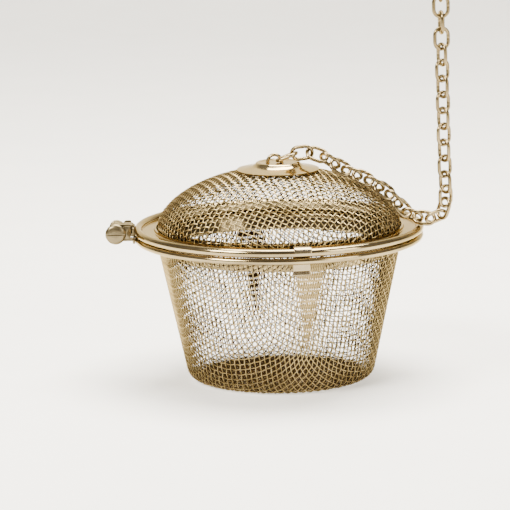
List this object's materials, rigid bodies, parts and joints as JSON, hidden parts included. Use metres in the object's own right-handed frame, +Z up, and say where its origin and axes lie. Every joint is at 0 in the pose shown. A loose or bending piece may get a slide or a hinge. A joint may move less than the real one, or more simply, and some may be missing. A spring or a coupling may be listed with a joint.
{
  "type": "tea infuser",
  "caption": "Woven wire tea basket with a hinged domed lid, a spring catch, and a chain with a hook that hangs it in a cup or pot.",
  "frame": {"origin": "centre of the basket's flat underside", "axes": "+Z up along the basket's axis, -X towards the lid's hinge, -Y towards the side with the catch"},
  "size_m": [0.0979, 0.0755, 0.1262],
  "materials": {
    "stamped_steel": "polished",
    "woven_wire": "satin",
    "chain_steel": "polished"
  },
  "bodies": {
    "basket": {"basket_mesh": "woven_wire", "basket_rim": "stamped_steel", "basket_clamp_band": "stamped_steel", "basket_hinge_leaf": "stamped_steel", "hinge_pin": "stamped_steel"},
    "lid": {"lid_mesh": "woven_wire", "lid_rim": "stamped_steel", "lid_clamp_band": "stamped_steel", "lid_hinge_leaf": "stamped_steel", "lid_cap": "stamped_steel", "cap_washer": "stamped_steel", "chain_staple": "chain_steel"},
    "catch": {"lid_catch": "stamped_steel"},
    "chain_anchor": {"chain_link_01": "chain_steel"},
    "chain_drape": {"chain_link_02": "chain_steel", "chain_link_03": "chain_steel", "chain_link_04": "chain_steel", "chain_link_05": "chain_steel", "chain_link_06": "chain_steel", "chain_link_07": "chain_steel", "chain_link_08": "chain_steel", "chain_link_09": "chain_steel", "chain_link_10": "chain_steel", "chain_link_11": "chain_steel", "chain_link_12": "chain_steel", "chain_link_13": "chain_steel", "chain_link_14": "chain_steel", "chain_link_15": "chain_steel", "chain_link_16": "chain_steel"},
    "chain_low": {"chain_link_17": "chain_steel", "chain_link_18": "chain_steel", "chain_link_19": "chain_steel", "chain_link_20": "chain_steel"},
    "chain_middle": {"chain_link_21": "chain_steel", "chain_link_22": "chain_steel", "chain_link_23": "chain_steel", "chain_link_24": "chain_steel"},
    "chain_high": {"chain_link_25": "chain_steel", "chain_link_26": "chain_steel", "chain_link_27": "chain_steel", "chain_link_28": "chain_steel", "chain_link_29": "chain_steel"},
    "hook": {"hanging_hook": "chain_steel"}
  },
  "joints": [
    {"name": "lid_hinge", "type": "hinge", "parent": "basket", "child": "lid", "pos_m": [-0.0421, 0, 0.039], "axis": [0, -1, 0], "range_deg": [0, 120]},
    {"name": "catch_flex", "type": "hinge", "parent": "lid", "child": "catch", "pos_m": [0.00529, -0.0346, 0.0409], "axis": [0.9885, 0.1513, 0], "range_deg": [0, 4], "stiffness_Nm_per_rad": 0.2},
    {"name": "chain_swivel", "type": "hinge", "parent": "lid", "child": "chain_anchor", "pos_m": [0.001, 0, 0.057], "axis": [0, 0, 1], "range_deg": [-35, 35]},
    {"name": "drape_lift", "type": "hinge", "parent": "chain_anchor", "child": "chain_drape", "pos_m": [0.00483, -0.00068, 0.05873], "axis": [-0.1392, -0.9903, 0], "range_deg": [0, 50]},
    {"name": "chain_bend_low", "type": "hinge", "parent": "chain_drape", "child": "chain_low", "pos_m": [0.04291, -0.00603, 0.05045], "axis": [0.1392, 0.9903, 0], "range_deg": [-36, 36]},
    {"name": "chain_bend_middle", "type": "hinge", "parent": "chain_low", "child": "chain_middle", "pos_m": [0.04247, -0.00597, 0.06645], "axis": [0.9903, -0.1392, 0], "range_deg": [-30, 30]},
    {"name": "chain_bend_high", "type": "hinge", "parent": "chain_middle", "child": "chain_high", "pos_m": [0.04221, -0.00593, 0.08292], "axis": [-0.1392, -0.9903, 0], "range_deg": [-28, 28]},
    {"name": "hook_swing", "type": "hinge", "parent": "chain_high", "child": "hook", "pos_m": [0.04194, -0.0059, 0.1035], "axis": [0.1392, 0.9903, 0], "range_deg": [-70, 70]}
  ]
}
